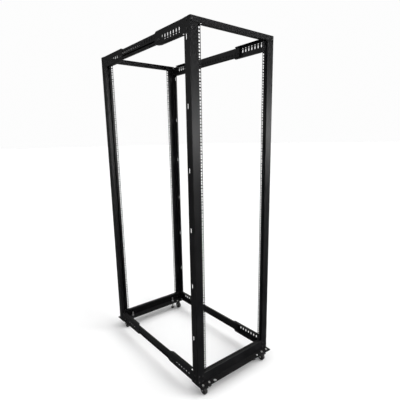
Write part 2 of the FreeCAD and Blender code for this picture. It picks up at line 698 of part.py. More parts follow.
def make_masters():
    """One bolt of each kind and one nut of each kind, copied into the fastener groups."""
    grip = dim.gauge * 3 + dim.base_gauge + dim.bolt_nut_height
    plates = dim.base_gauge * 2
    clamp_grip = dim.gauge * 2 + dim.slide_gap * 2 + dim.channel_nut_depth + 1
    channel_nut = make_block("channel_nut_block", -dim.channel_nut_depth, 0,
                             -dim.channel_nut_length / 2, dim.channel_nut_length / 2,
                             -dim.channel_nut_height / 2, dim.channel_nut_height / 2)
    for step in (-1, 1):
        bore_low = -dim.channel_nut_depth - 1
        bore = make_round(f"channel_nut_bore_{step}", dim.stud_radius + dim.fit_gap, bore_low, 1)
        place(bore, bore_low, dim.clamp_pitch / 2 * step, 0, (0, 1, 0), 90)
        channel_nut = subtract(f"channel_nut_{step}", channel_nut, bore)
    return SimpleNamespace(
        bolt=make_bolt("frame_bolt", dim.bolt_radius, dim.bolt_head_radius, grip),
        bolt_nut=make_nut("frame_nut", dim.bolt_nut_radius, dim.bolt_nut_height, dim.bolt_radius),
        clamp=make_bolt("clamp_bolt", dim.stud_radius, dim.stud_head_radius, clamp_grip),
        channel_nut=channel_nut,
        stud=make_bolt("caster_bolt", dim.stud_radius, dim.stud_head_radius, plates + dim.stud_nut_height),
        stud_nut=make_nut("caster_nut", dim.stud_nut_radius, dim.stud_nut_height, dim.stud_radius),
        weld_nut=make_nut("weld_nut", dim.foot_nut_radius, dim.weld_nut_height, dim.stem_radius),
        lock_nut=make_nut("lock_nut", dim.foot_nut_radius, dim.lock_nut_height, dim.stem_radius))


def make_corner_bolts(end, y_sign, masters):
    """Bolts along Y through the posts' front walls, with nuts behind what they hold."""
    x_axis = (1, 0, 0)
    turn = -90 * y_sign
    face = half_depth
    tab_back = half_depth - dim.gauge * 2
    web_back = half_depth - dim.gauge - dim.base_gauge
    tab_x = bracket_out - dim.tab_bolt_x
    web_x = half_width - dim.base_bolt_x
    spots = [(tab_x, top_axis + dim.bolt_offset, face + dim.gauge, tab_back),
             (tab_x, top_axis - dim.bolt_offset, face, tab_back),
             (tab_x, base_axis + dim.bolt_offset, face, tab_back),
             (tab_x, base_axis - dim.bolt_offset, face, tab_back)]
    for rise in (dim.base_bolt_low, dim.base_bolt_high):
        spots.append((web_x, dim.caster_height + rise, face, web_back))
    copies = []
    for x, z, seat, back in spots:
        for side, x_sign in SIDES:
            copies.append((masters.bolt, x * x_sign, seat * y_sign, z, x_axis, turn))
            copies.append((masters.bolt_nut, x * x_sign, back * y_sign, z, x_axis, turn))
    make_group(f"{end}_corner_bolts", copies)


def make_bracket_bolts(end, y_sign, masters):
    """Bolts along X through the posts' side walls into the brackets."""
    y = (bracket_end - dim.side_bolt_y) * y_sign
    nut_seat = bracket_out - dim.gauge
    copies = []
    for level, axis_height in LEVELS:
        for side, x_sign in SIDES:
            for offset in (-dim.bolt_offset, dim.bolt_offset):
                z = axis_height + offset
                copies.append((masters.bolt, half_width * x_sign, y, z, (0, 1, 0), 90 * x_sign))
                copies.append((masters.bolt_nut, nut_seat * x_sign, y, z, (0, 1, 0), 90 * x_sign))
    make_group(f"{end}_bracket_bolts", copies)


def make_clamps(end, y_sign, masters):
    """Clamp bolts through the bracket tips into channel nuts inside the middle rails."""
    first = bracket_end - dim.clamp_first
    nut_x = bracket_out - dim.gauge * 2 - dim.slide_gap * 2
    bolts, nuts = [], []
    for level, axis_height in LEVELS:
        for side, x_sign in SIDES:
            z = axis_height + dim.clamp_drop * x_sign
            for step in range(2):
                y = (first - dim.clamp_pitch * step) * y_sign
                bolts.append((masters.clamp, bracket_out * x_sign, y, z, (0, 1, 0), 90 * x_sign))
            middle = (first - dim.clamp_pitch / 2) * y_sign
            turn = 0 if x_sign > 0 else 180
            nuts.append((masters.channel_nut, nut_x * x_sign, middle, z, (0, 0, 1), turn))
    make_group(f"{end}_clamp_bolts", bolts)
    make_group(f"{end}_clamp_nuts", nuts)


def make_floor_fasteners(end, y_sign, masters):
    """Caster bolts with their nuts, and the weld and lock nuts of the levelling feet."""
    plate_low = dim.caster_height - dim.base_gauge
    plate_top = dim.caster_height + dim.base_gauge
    bolts, nuts = [], []
    for side, x_sign in SIDES:
        for x_step in (-dim.plate_bolt_x, dim.plate_bolt_x):
            for y_step in (-dim.plate_bolt_y, dim.plate_bolt_y):
                x = dim.caster_x * x_sign + x_step
                y = caster_y * y_sign + y_step
                bolts.append((masters.stud, x, y, plate_low, (1, 0, 0), 180))
                bolts.append((masters.stud_nut, x, y, plate_top + dim.stud_nut_height, (0, 0, 1), 0))
        foot = (dim.foot_x * x_sign, foot_y * y_sign)
        nuts.append((masters.weld_nut, *foot, dim.caster_height, (0, 0, 1), 0))
        nuts.append((masters.lock_nut, *foot, plate_top + dim.lock_nut_height, (0, 0, 1), 0))
    make_group(f"{end}_caster_bolts", bolts)
    make_group(f"{end}_foot_nuts", nuts)


# ---- casters -----------------------------------------------------------------------------------

def make_caster_plate(label, x, y):
    """Bolted plate with the swivel race and kingpin; origin on the swivel axis at the plate's top."""
    body = make_body(label)
    plate = make_sketch(body, "XY_Plane")
    half_x = dim.plate_width / 2
    half_y = dim.plate_length / 2
    draw_box(plate, -half_x, -half_y, half_x, half_y)
    base = pad(body, plate, dim.base_gauge, backwards=True)
    corners = [(half_x * x_sign, half_y * y_sign) for x_sign in (-1, 1) for y_sign in (-1, 1)]
    bend(body, base, ACROSS_Z, corners, dim.plate_corner)
    crown_low = dim.race_depth + dim.slide_gap + dim.crown_height
    head_high = crown_low + dim.slide_gap
    head_low = head_high + dim.kingpin_head_height
    race_step = dim.race_radius - dim.gauge
    swivel = make_sketch(body, "XZ_Plane")
    draw_outline(swivel, [
        (0, -1), (dim.race_radius + dim.gauge, -1), (dim.race_radius + dim.gauge, -dim.base_gauge - dim.gauge),
        (dim.race_radius, -dim.base_gauge - dim.gauge * 2), (dim.race_radius, -dim.race_depth + dim.gauge),
        (race_step, -dim.race_depth), (dim.kingpin_radius, -dim.race_depth),
        (dim.kingpin_radius, -head_high), (dim.kingpin_head, -head_high), (dim.kingpin_head, -head_low),
        (0, -head_low)])
    revolve(body, swivel, "V_Axis")
    holes = make_sketch(body, "XY_Plane")
    for x_step in (-dim.plate_bolt_x, dim.plate_bolt_x):
        for y_step in (-dim.plate_bolt_y, dim.plate_bolt_y):
            draw_circle(holes, x_step, y_step, dim.stud_radius + dim.bolt_gap)
    cut_through(body, holes)
    place(body, x, y, dim.caster_height)


def make_fork(label, x, y, braked):
    """Swivel fork; origin on the swivel axis at the height of the wheel's axle."""
    body = make_body(label)
    crown_top = dim.caster_height - dim.race_depth - dim.slide_gap - dim.wheel_radius
    crown_low = crown_top - dim.crown_height
    legs = make_sketch(body, "YZ_Plane")
    draw_outline(legs, [
        (dim.leg_front, crown_top - 1), (-dim.leg_back, crown_top - 1),
        (-dim.trail - dim.boss_radius, 0), (-dim.trail - dim.boss_radius, -dim.boss_radius),
        (dim.boss_radius - dim.trail, -dim.boss_radius), (dim.boss_radius - dim.trail, 0)])
    fork_width = dim.fork_gap + dim.leg_gauge * 2
    sides = pad(body, legs, fork_width, both_ways=True)
    feet = [(-dim.trail - dim.boss_radius, -dim.boss_radius), (dim.boss_radius - dim.trail, -dim.boss_radius)]
    bend(body, sides, ACROSS_X, feet, dim.boss_radius - 0.5)
    if braked:
        pivot_z = dim.caster_height - dim.pedal_drop - dim.wheel_radius
        ears = make_sketch(body, "YZ_Plane")
        draw_outline(ears, [
            (0, crown_top - 1), (-dim.leg_back, crown_top - 1), (-dim.pedal_back, pivot_z + dim.ear_radius),
            (-dim.pedal_back - dim.ear_radius, pivot_z + dim.ear_radius),
            (-dim.pedal_back - dim.ear_radius, pivot_z - dim.ear_radius),
            (-dim.pedal_back, pivot_z - dim.ear_radius), (-dim.leg_back, crown_low - dim.leg_back), (0, crown_low)])
        pad(body, ears, fork_width, both_ways=True)
    gap = make_sketch(body, "YZ_Plane")
    draw_box(gap, -dim.plate_length, -dim.wheel_radius, dim.plate_length, crown_low)
    cut_both_ways(body, gap, dim.fork_gap)
    if braked:
        above = make_sketch(body, "YZ_Plane")
        draw_box(above, -dim.plate_length, -dim.wheel_radius, -dim.crown_radius, crown_top + 1)
        cut_both_ways(body, above, dim.fork_gap)
    crown = make_sketch(body, "XY_Plane", offset=crown_low)
    draw_circle(crown, 0, 0, dim.crown_radius)
    pad(body, crown, dim.crown_height)
    kingpin = make_sketch(body, "XY_Plane")
    draw_circle(kingpin, 0, 0, dim.kingpin_radius + dim.fit_gap)
    cut_through(body, kingpin)
    pins = make_sketch(body, "YZ_Plane")
    draw_circle(pins, -dim.trail, 0, dim.axle_radius + dim.fit_gap)
    if braked:
        draw_circle(pins, -dim.pedal_back, pivot_z, dim.pedal_pin_radius + dim.fit_gap)
    cut_through(body, pins)
    place(body, x, y, dim.wheel_radius)


def make_axle(label, x, y):
    """Axle along X with a head outside each leg; origin mid-length."""
    half = dim.fork_gap / 2 + dim.leg_gauge
    pieces = [make_round(f"{label}_shank", dim.axle_radius, -half - 1, half + 1)]
    for sign, side in ((-1, "left"), (1, "right")):
        low = half if sign > 0 else -half - dim.axle_head_height
        pieces.append(make_round(f"{label}_{side}_head", dim.axle_head_radius, low, low + dim.axle_head_height))
    axle = join(label, pieces)
    subparts.append(axle)
    place(axle, x, y - dim.trail, dim.wheel_radius, (0, 1, 0), 90)


def make_wheel(label, x, y):
    """Wheel turned about X; origin at its centre."""
    body = make_body(label)
    half = dim.wheel_width / 2
    web = dim.wheel_web / 2
    bore = dim.axle_radius + dim.fit_gap
    shoulder = dim.wheel_radius - dim.tread_shoulder
    right_side = [
        (half - dim.tread_shoulder, dim.wheel_radius), (half, shoulder), (half, dim.rim_radius),
        (web, dim.rim_radius), (web, dim.hub_radius), (half, dim.hub_radius), (half, bore)]
    left_side = [(-across, out) for across, out in reversed(right_side)]
    section = make_sketch(body, "XY_Plane")
    draw_outline(section, left_side + right_side)
    revolve(body, section, "H_Axis")
    place(body, x, y - dim.trail, dim.wheel_radius)


def make_pedal(label, x, y):
    """Brake pedal of bent plate with its pivot pin; origin on the pivot."""
    body = make_body(label)
    rise = dim.pedal_pin_radius + dim.gauge
    plate = make_sketch(body, "YZ_Plane")
    draw_outline(plate, [
        (dim.pedal_gauge, rise), (-dim.pedal_gauge, rise), (-dim.pedal_reach, rise - dim.gauge),
        (-dim.pedal_reach, rise - dim.gauge - dim.pedal_gauge), (-dim.pedal_gauge, -dim.pedal_gauge),
        (-dim.pedal_gauge, -dim.pedal_stub), (0, -dim.pedal_stub), (dim.pedal_gauge, -dim.pedal_gauge)])
    pad(body, plate, dim.pedal_width, both_ways=True)
    pin = make_sketch(body, "YZ_Plane")
    draw_circle(pin, 0, 0, dim.pedal_pin_radius)
    pad(body, pin, dim.fork_gap + dim.leg_gauge * 2 + dim.fit_gap * 8, both_ways=True)
    place(body, x, y - dim.pedal_back, dim.caster_height - dim.pedal_drop)


# ---- levelling feet ----------------------------------------------------------------------------

def make_foot(prefix, x, y):
    """Threaded stem with a wrench collar, standing in its pad."""
    pad_top = dim.foot_lift + dim.pad_height
    stem_low = dim.foot_lift + dim.pad_floor
    shank = make_round(f"{prefix}_shank", dim.stem_radius, stem_low, dim.stem_top)
    collar = make_round(f"{prefix}_collar", dim.collar_radius, pad_top, pad_top + dim.collar_height,
                        kind="Part::Prism")
    stem = join(f"{prefix}_stem", [shank, collar])
    rim_top = dim.foot_lift + dim.pad_rim
    rim = make_round(f"{prefix}_rim", dim.pad_radius, dim.foot_lift, rim_top)
    cone = doc.addObject("Part::Cone", f"{prefix}_cone")
    cone.setExpression("Radius1", dim.pad_radius.text)
    cone.setExpression("Radius2", dim.pad_neck.text)
    cone.setExpression("Height", (dim.pad_height - dim.pad_rim).text)
    place(cone, z=rim_top)
    socket = make_round(f"{prefix}_socket", dim.stem_radius + dim.fit_gap, stem_low, pad_top + 1)
    pad_item = subtract(f"{prefix}_pad", join(f"{prefix}_disc", [rim, cone]), socket)
    for item in (stem, pad_item):
        place(item, x, y, 0)
        subparts.append(item)


# ---- whole rack --------------------------------------------------------------------------------

def make_rack():
    masters = make_masters()
    mirror(make_post("front_left_post", -1, -1, 0), "front_right_post", (1, 0, 0))
    mirror(make_post("rear_right_post", 1, 1, 180), "rear_left_post", (1, 0, 0))
    for side, x_sign in SIDES:
        for level, axis_height in LEVELS:
            bracket = make_bracket(f"front_{side}_{level}_bracket", x_sign, axis_height)
            mirror(bracket, f"rear_{side}_{level}_bracket", (0, 1, 0))
            make_middle_rail(f"{side}_{level}_middle_rail", x_sign, axis_height)
    for end, y_sign in ENDS:
        turn = 0 if y_sign < 0 else 180
        make_top_beam(f"{end}_top_beam", y_sign, turn)
        make_base_beam(f"{end}_base_beam", y_sign, turn)
        make_corner_bolts(end, y_sign, masters)
        make_bracket_bolts(end, y_sign, masters)
        make_clamps(end, y_sign, masters)
        make_floor_fasteners(end, y_sign, masters)
        for side, x_sign in SIDES:
            corner = f"{end}_{side}"
            x = dim.caster_x * x_sign
            y = caster_y * y_sign
            make_caster_plate(f"{corner}_caster_plate", x, y)
            make_fork(f"{corner}_caster_fork", x, y, braked=end == "front")
            make_axle(f"{corner}_caster_axle", x, y)
            make_wheel(f"{corner}_caster_wheel", x, y)
            if end == "front":
                make_pedal(f"{corner}_brake_pedal", x, y)
            make_foot(f"{corner}_foot", dim.foot_x * x_sign, foot_y * y_sign)


def check_document():
    """Stop on any failed object or bad shape before a file is written."""
    for item in doc.Objects:
        if any(flag in ("Invalid", "Error") for flag in item.State):
            raise RuntimeError(f"{item.Label} failed to recompute")
    for item in subparts:
        if item.Shape.isNull() or not item.Shape.isValid() or item.Shape.Volume <= 0:
            raise RuntimeError(f"{item.Label} has no valid shape")


make_sheet()
make_rack()
doc.recompute()
check_document()
os.makedirs("parts", exist_ok=True)
for subpart in subparts:
    subpart.Shape.exportStep(f"parts/{subpart.Label}.step")
print(len(subparts), "sub-parts written")
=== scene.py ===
"""Open four-post network rack on a pale studio floor: camera, light, finishes and small hardware."""
import math

import bmesh
import bpy
from mathutils import Matrix, Vector


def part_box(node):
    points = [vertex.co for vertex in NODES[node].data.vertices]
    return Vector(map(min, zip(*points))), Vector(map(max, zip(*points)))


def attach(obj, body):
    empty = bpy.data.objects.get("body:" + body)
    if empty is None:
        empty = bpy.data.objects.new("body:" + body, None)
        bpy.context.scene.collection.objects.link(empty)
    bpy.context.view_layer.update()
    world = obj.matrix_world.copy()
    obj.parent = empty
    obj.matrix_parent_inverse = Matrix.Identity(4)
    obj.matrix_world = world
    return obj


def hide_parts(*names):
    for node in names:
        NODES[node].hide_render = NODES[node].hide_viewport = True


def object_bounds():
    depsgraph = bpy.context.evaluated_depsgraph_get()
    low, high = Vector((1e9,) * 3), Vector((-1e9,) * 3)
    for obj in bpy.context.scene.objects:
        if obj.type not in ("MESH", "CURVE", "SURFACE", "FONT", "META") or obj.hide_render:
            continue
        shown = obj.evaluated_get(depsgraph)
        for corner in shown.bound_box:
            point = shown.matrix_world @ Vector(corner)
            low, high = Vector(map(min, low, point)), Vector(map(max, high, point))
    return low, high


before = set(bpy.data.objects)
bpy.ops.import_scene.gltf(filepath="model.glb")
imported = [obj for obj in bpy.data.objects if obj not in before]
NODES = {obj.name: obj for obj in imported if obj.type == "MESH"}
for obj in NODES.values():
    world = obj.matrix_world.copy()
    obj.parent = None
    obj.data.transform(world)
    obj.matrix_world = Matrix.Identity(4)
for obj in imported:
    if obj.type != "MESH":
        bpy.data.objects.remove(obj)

CAD_LOW, CAD_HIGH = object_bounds()
MM = 0.001
SIDES = ("left", "right")
ENDS = ("front", "rear")
SEGMENTS = 24                           # points round each bolt and nut

CAMERA_PLACE = (-1.35, -1.886, 1.474)
CAMERA_TURN = (38.5, 11.97, -1.06)      # yaw to the right, pitch down and roll, in degrees
CAMERA_LENS = 30.64
CAMERA_SHIFT = (-0.002, 0.0327)

BACKDROP_SEEN = 0.98                    # brightness of the backdrop, to the camera only
BAND_GLOW = 26                          # strength of the low band of light in front of the rack
FLOOR_SEEN = 0.96                       # brightness of the floor, to the camera
FLOOR_BOUNCE = 0.12                     # brightness of the floor, to bounced and mirrored rays
FLOOR_REACH = 120
FLOOR_GAP = 0.2 * MM                    # how far the floor lies below the wheels


# ---- camera, floor and light -------------------------------------------------------------------

def add_object(name, data):
    item = bpy.data.objects.new(name, data)
    bpy.context.scene.collection.objects.link(item)
    return item


def add_camera():
    """Standing off the front-left corner at eye height, looking a little down."""
    data = bpy.data.cameras.new("Camera")
    data.sensor_width = 36
    data.lens = CAMERA_LENS
    data.shift_x, data.shift_y = CAMERA_SHIFT
    data.clip_end = 500
    camera = add_object("Camera", data)
    yaw, pitch, roll = (math.radians(angle) for angle in CAMERA_TURN)
    turn = (Matrix.Rotation(-yaw, 4, "Z") @ Matrix.Rotation(math.pi / 2 - pitch, 4, "X")
            @ Matrix.Rotation(roll, 4, "Z"))
    camera.matrix_world = Matrix.Translation(CAMERA_PLACE) @ turn
    bpy.context.scene.camera = camera


def add_sun(name, aim, softness, strength):
    """Distant soft light shining along aim; softness is the angle that it fills, in degrees."""
    data = bpy.data.lights.new(name, "SUN")
    data.angle = math.radians(softness)
    data.energy = strength
    light = add_object(name, data)
    light.rotation_euler = Vector(aim).to_track_quat("-Z", "Y").to_euler()


def add_world():
    """White to the camera, and an uneven room to every other ray.

    The room is dim, more so towards the left, with a brighter patch at the far left. A low and very
    bright band in front of the rack puts a soft sheen half-way up its posts.
    """
    world = bpy.data.worlds.new("Studio")
    bpy.context.scene.world = world
    world.use_nodes = True
    tree = world.node_tree
    tree.nodes.clear()
    seen = tree.nodes.new("ShaderNodeBackground")
    seen.inputs["Color"].default_value = (BACKDROP_SEEN, BACKDROP_SEEN, BACKDROP_SEEN, 1)
    direction = tree.nodes.new("ShaderNodeTexCoord")
    split = tree.nodes.new("ShaderNodeSeparateXYZ")
    tree.links.new(direction.outputs["Generated"], split.inputs[0])
    room = tree.nodes.new("ShaderNodeBackground")
    room.inputs["Color"].default_value = (1, 1, 1, 1)
    dim_room = remap(tree, split.outputs["X"], -0.8, 0.9, 0.03, 0.25)
    far_left = remap(tree, split.outputs["X"], -0.45, -0.7, 0, 0.9)
    side = combine(tree, "ADD", dim_room, far_left)
    front = remap(tree, split.outputs["Y"], -0.1, -0.7, 0, 1)
    low = remap(tree, split.outputs["Z"], 0.08, 0.01, 0, 1)
    band = combine(tree, "MULTIPLY", front, low)
    glow = tree.nodes.new("ShaderNodeMath")
    glow.operation = "MULTIPLY_ADD"
    glow.inputs[1].default_value = BAND_GLOW
    tree.links.new(band, glow.inputs[0])
    tree.links.new(side, glow.inputs[2])
    tree.links.new(glow.outputs[0], room.inputs["Strength"])
    path = tree.nodes.new("ShaderNodeLightPath")
    mix = tree.nodes.new("ShaderNodeMixShader")
    out = tree.nodes.new("ShaderNodeOutputWorld")
    tree.links.new(path.outputs["Is Camera Ray"], mix.inputs["Fac"])
    tree.links.new(room.outputs[0], mix.inputs[1])
    tree.links.new(seen.outputs[0], mix.inputs[2])
    tree.links.new(mix.outputs[0], out.inputs["Surface"])


def add_floor():
    """Pale to the camera, and dark to every other ray, so that little light bounces off it."""
    mesh = bpy.data.meshes.new("Floor")
    corners = [(FLOOR_REACH * x, FLOOR_REACH * y, 0) for x, y in ((-1, -1), (1, -1), (1, 1), (-1, 1))]
    mesh.from_pydata(corners, [], [(0, 1, 2, 3)])
    floor = add_object("Floor", mesh)
    floor.location.z = CAD_LOW.z - FLOOR_GAP
    material, tree, shader = new_material("Floor")
    path = tree.nodes.new("ShaderNodeLightPath")
    bounced, seen = ((grey, grey, grey) for grey in (FLOOR_BOUNCE, FLOOR_SEEN))
    shade = mix_colours(tree, path.outputs["Is Camera Ray"], bounced, seen)
    tree.links.new(shade, shader.inputs["Base Color"])
    shader.inputs["Roughness"].default_value = 0.9
    shader.inputs["Specular IOR Level"].default_value = 0.1
    mesh.materials.append(material)


# ---- shader building blocks --------------------------------------------------------------------

def new_material(name):
    material = bpy.data.materials.new(name)
    material.use_nodes = True
    tree = material.node_tree
    return material, tree, tree.nodes["Principled BSDF"]


def add_noise(tree, scale, detail=3, stretch=(1, 1, 1)):
    """Noise in the object's own coordinates, in metres."""
    coordinates = tree.nodes.new("ShaderNodeTexCoord")
    mapping = tree.nodes.new("ShaderNodeMapping")
    mapping.inputs["Scale"].default_value = stretch
    noise = tree.nodes.new("ShaderNodeTexNoise")
    noise.inputs["Scale"].default_value = scale
    noise.inputs["Detail"].default_value = detail
    tree.links.new(coordinates.outputs["Object"], mapping.inputs["Vector"])
    tree.links.new(mapping.outputs[0], noise.inputs["Vector"])
    return noise.outputs["Fac"]


def add_cells(tree, scale):
    """Small rounded cells, as of a moulded grain."""
    coordinates = tree.nodes.new("ShaderNodeTexCoord")
    cells = tree.nodes.new("ShaderNodeTexVoronoi")
    cells.inputs["Scale"].default_value = scale
    tree.links.new(coordinates.outputs["Object"], cells.inputs["Vector"])
    return cells.outputs["Distance"]


def remap(tree, value, low, high, to_low, to_high):
    """The value moved from the range low to high into the other range, and held inside it."""
    node = tree.nodes.new("ShaderNodeMapRange")
    for name, number in (("From Min", low), ("From Max", high), ("To Min", to_low), ("To Max", to_high)):
        node.inputs[name].default_value = number
    tree.links.new(value, node.inputs["Value"])
    return node.outputs["Result"]


def combine(tree, operation, a, b):
    """Sum, product or the like of two outputs, held between 0 and 1."""
    node = tree.nodes.new("ShaderNodeMath")
    node.operation = operation
    node.use_clamp = True
    tree.links.new(a, node.inputs[0])
    tree.links.new(b, node.inputs[1])
    return node.outputs[0]


def mix_colours(tree, factor, a, b):
    """a where the factor is 0 and b where it is 1; each is a colour or another node's output."""
    node = tree.nodes.new("ShaderNodeMix")
    node.data_type = "RGBA"
    tree.links.new(factor, node.inputs["Factor"])
    for socket, colour in ((node.inputs[6], a), (node.inputs[7], b)):
        if isinstance(colour, tuple):
            socket.default_value = (*colour, 1)
        else:
            tree.links.new(colour, socket)
    return node.outputs[2]


def add_bump(tree, shader, heights):
    """Bumps stacked on each other: (height output, strength, depth in metres)."""
    normal = None
    for height, strength, depth in heights:
        bump = tree.nodes.new("ShaderNodeBump")
        bump.inputs["Strength"].default_value = strength
        bump.inputs["Distance"].default_value = depth
        tree.links.new(height, bump.inputs["Height"])
        if normal is not None:
            tree.links.new(normal, bump.inputs["Normal"])
        normal = bump.outputs["Normal"]
    tree.links.new(normal, shader.inputs["Normal"])


def find_edges(tree, radius):
    """1 within the radius of a sharp edge and 0 on the flats."""
    bevel = tree.nodes.new("ShaderNodeBevel")
    bevel.samples = 4
    bevel.inputs["Radius"].default_value = radius
    geometry = tree.nodes.new("ShaderNodeNewGeometry")
    dot = tree.nodes.new("ShaderNodeVectorMath")
    dot.operation = "DOT_PRODUCT"
    tree.links.new(bevel.outputs[0], dot.inputs[0])
    tree.links.new(geometry.outputs["Normal"], dot.inputs[1])
    return remap(tree, dot.outputs["Value"], 0.99, 0.8, 0, 1)


def find_tops(tree):
    """1 on surfaces that face up, where dust settles."""
    geometry = tree.nodes.new("ShaderNodeNewGeometry")
    split = tree.nodes.new("ShaderNodeSeparateXYZ")
    tree.links.new(geometry.outputs["Normal"], split.inputs[0])
    return remap(tree, split.outputs["Z"], 0.8, 1, 0, 1)


# ---- finishes ----------------------------------------------------------------------------------

def make_coat(name, dark, light, rough, rub=False):
    """Satin black powder coat: orange peel and grain, thin wear on the edges, dust on top.

    With rub it also has faint streaks along the depth, as sliding brackets leave.
    """
    material, tree, shader = new_material(name)
    shader.inputs["Specular IOR Level"].default_value = 0.16
    cloud = remap(tree, add_noise(tree, 9, 4), 0.35, 0.65, 0, 1)
    colour = mix_colours(tree, cloud, dark, light)
    patches = remap(tree, add_noise(tree, 55, 5), 0.52, 0.72, 0, 1)
    worn = combine(tree, "MULTIPLY", find_edges(tree, 0.8 * MM), patches)
    colour = mix_colours(tree, worn, colour, (0.085, 0.085, 0.09))
    dust = combine(tree, "MULTIPLY", find_tops(tree),
                   remap(tree, add_noise(tree, 140, 6), 0.4, 0.75, 0, 0.35))
    colour = mix_colours(tree, dust, colour, (0.05, 0.049, 0.047))
    roughness = remap(tree, add_noise(tree, 60, 5), 0.3, 0.7, rough - 0.025, rough + 0.03)
    if rub:
        streaks = remap(tree, add_noise(tree, 420, 3, (1, 0.02, 1)), 0.6, 0.78, 0, 0.6)
        colour = mix_colours(tree, streaks, colour, (0.06, 0.06, 0.064))
    tree.links.new(colour, shader.inputs["Base Color"])
    tree.links.new(roughness, shader.inputs["Roughness"])
    add_bump(tree, shader, [(add_noise(tree, 520, 2), 0.35, 0.12 * MM),
                            (add_noise(tree, 2600, 2), 0.3, 0.03 * MM)])
    return material


def make_zinc():
    """Bright zinc plate: faint blue and straw clouds, fine scratches, duller in patches."""
    material, tree, shader = new_material("zinc_steel")
    shader.inputs["Metallic"].default_value = 1
    cloud = remap(tree, add_noise(tree, 160, 4), 0.35, 0.65, 0, 1)
    colour = mix_colours(tree, cloud, (0.55, 0.57, 0.60), (0.66, 0.64, 0.60))
    grime = combine(tree, "MULTIPLY", remap(tree, add_noise(tree, 420, 6), 0.5, 0.8, 0, 1),
                    remap(tree, add_noise(tree, 60, 3), 0.4, 0.7, 0, 1))
    colour = mix_colours(tree, grime, colour, (0.16, 0.15, 0.14))
    tree.links.new(colour, shader.inputs["Base Color"])
    tree.links.new(remap(tree, add_noise(tree, 300, 5), 0.3, 0.7, 0.26, 0.48), shader.inputs["Roughness"])
    add_bump(tree, shader, [(add_noise(tree, 1500, 2, (1, 1, 0.08)), 0.2, 0.03 * MM)])
    return material


def make_black_steel(name, dark, light, metallic):
    """Blackened steel: oily clouds in the black, bare steel showing on the edges."""
    material, tree, shader = new_material(name)
    shader.inputs["Metallic"].default_value = metallic
    cloud = remap(tree, add_noise(tree, 190, 5), 0.35, 0.68, 0, 1)
    colour = mix_colours(tree, cloud, dark, light)
    worn = combine(tree, "MULTIPLY", find_edges(tree, 0.5 * MM),
                   remap(tree, add_noise(tree, 240, 4), 0.42, 0.62, 0, 0.8))
    colour = mix_colours(tree, worn, colour, (0.14, 0.14, 0.15))
    tree.links.new(colour, shader.inputs["Base Color"])
    tree.links.new(remap(tree, add_noise(tree, 230, 4), 0.3, 0.7, 0.3, 0.5), shader.inputs["Roughness"])
    add_bump(tree, shader, [(add_noise(tree, 1900, 2), 0.2, 0.03 * MM)])
    return material


def make_moulded(name, dark, light, rough, grain):
    """Moulded plastic or hard rubber with a fine grain and pale scuffs on the edges."""
    material, tree, shader = new_material(name)
    cloud = remap(tree, add_noise(tree, 120, 5), 0.35, 0.7, 0, 1)
    colour = mix_colours(tree, cloud, dark, light)
    scuffs = combine(tree, "MULTIPLY", find_edges(tree, 0.7 * MM),
                     remap(tree, add_noise(tree, 320, 4), 0.45, 0.7, 0, 1))
    colour = mix_colours(tree, scuffs, colour, (0.09, 0.088, 0.085))
    tree.links.new(colour, shader.inputs["Base Color"])
    tree.links.new(remap(tree, add_noise(tree, 380, 3), 0.3, 0.7, rough - 0.08, rough + 0.1),
                   shader.inputs["Roughness"])
    add_bump(tree, shader, [(add_cells(tree, grain), 0.35, 0.05 * MM)])
    return material


def make_finishes():
    """Every material by the name of its slot."""
    deep, soft = (0.003, 0.003, 0.0035), (0.007, 0.007, 0.0075)
    return {
        "post_coat": make_coat("post_coat", (0.0025, 0.0025, 0.003), (0.006, 0.006, 0.0065), 0.30),
        "beam_coat": make_coat("beam_coat", deep, soft, 0.32),
        "bracket_coat": make_coat("bracket_coat", deep, (0.006, 0.006, 0.0065), 0.31),
        "middle_rail_coat": make_coat("middle_rail_coat", deep, soft, 0.32, rub=True),
        "bolt_black": make_black_steel("bolt_black", (0.004, 0.004, 0.0045), (0.012, 0.012, 0.013), 0.1),
        "zinc_steel": make_zinc(),
        "caster_steel": make_black_steel("caster_steel", (0.03, 0.03, 0.033), (0.07, 0.07, 0.075), 0.7),
        "wheel_tread": make_moulded("wheel_tread", (0.014, 0.014, 0.014), (0.028, 0.027, 0.026),
                                    0.62, 900),
        "pedal_black": make_moulded("pedal_black", (0.014, 0.014, 0.015), (0.024, 0.024, 0.025),
                                    0.48, 1400),
        "foot_plastic": make_moulded("foot_plastic", (0.013, 0.013, 0.013), (0.024, 0.024, 0.024),
                                     0.55, 1100),
    }


def finish_nodes(finishes):
    """Each carried-over CAD node gets the finish of its material slot."""
    for node in NODES.values():
        for slot in node.material_slots:
            slot.material = finishes[slot.material.name.split(".")[0]]


# ---- small hardware ----------------------------------------------------------------------------

def find_solids(node, axis):
    """The measures of each separate solid of a CAD node, in the order of the node's vertices."""
    mesh = bmesh.new()
    mesh.from_mesh(NODES[node].data)
    bmesh.ops.remove_doubles(mesh, verts=mesh.verts, dist=0.001 * MM)
    waiting = set(mesh.verts)
    solids = []
    for first in mesh.verts:
        if first not in waiting:
            continue
        waiting.remove(first)
        reached = [first]
        solid = []
        while reached:
            vertex = reached.pop()
            solid.append(vertex.co.copy())
            for edge in vertex.link_edges:
                other = edge.other_vert(vertex)
                if other in waiting:
                    waiting.remove(other)
                    reached.append(other)
        solids.append(solid)
    mesh.free()
    return [measure_solid(solid, axis) for solid in solids]


